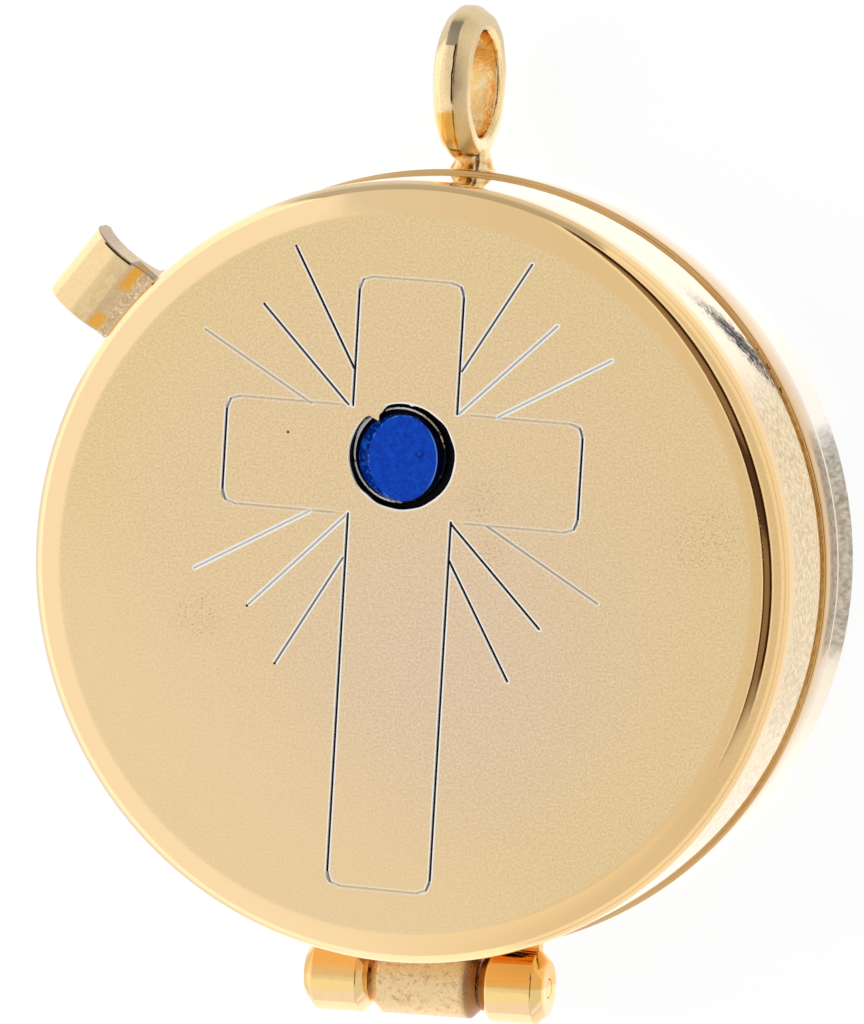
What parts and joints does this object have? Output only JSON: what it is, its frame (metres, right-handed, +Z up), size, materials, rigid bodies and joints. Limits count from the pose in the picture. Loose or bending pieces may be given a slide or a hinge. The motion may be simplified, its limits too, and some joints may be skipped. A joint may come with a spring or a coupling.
{
  "type": "pyx",
  "caption": "Round gilt pyx with a hinged lid, a hanging ring and a thumb tab, and an engraved cross with rays round a blue stone.",
  "frame": {"origin": "centre of the flat underside of the cup", "axes": "+Z up through the lid's face, +Y toward the hanging ring, the hinge on the -Y side along X"},
  "size_m": [0.051, 0.0653, 0.02],
  "materials": {
    "cup_gilt": "polished gilt brass, turned",
    "rim_gilt": "polished gilt brass, turned",
    "lid_gilt": "satin gilt brass with cut lines, polished on the wall",
    "fitting_gilt": "polished gilt brass, soldered on",
    "knuckle_dull": "dull, as cast",
    "pin_brass": "drawn wire",
    "stone_blue": "polished cobalt blue glass"
  },
  "bodies": {
    "box": {"body_cup": "cup_gilt", "rim_ring": "rim_gilt", "hanging_ring": "fitting_gilt", "hinge_pin": "pin_brass", "hinge_knuckle_left": "fitting_gilt", "hinge_knuckle_right": "fitting_gilt"},
    "lid": {"lid_shell": "lid_gilt", "stone": "stone_blue", "hinge_knuckle_centre": "knuckle_dull", "thumb_tab": "fitting_gilt"}
  },
  "joints": [
    {"name": "lid_hinge", "type": "hinge", "parent": "box", "child": "lid", "pos_m": [0, -0.02718, 0.01], "axis": [1, 0, 0], "range_deg": [0, 175]}
  ]
}
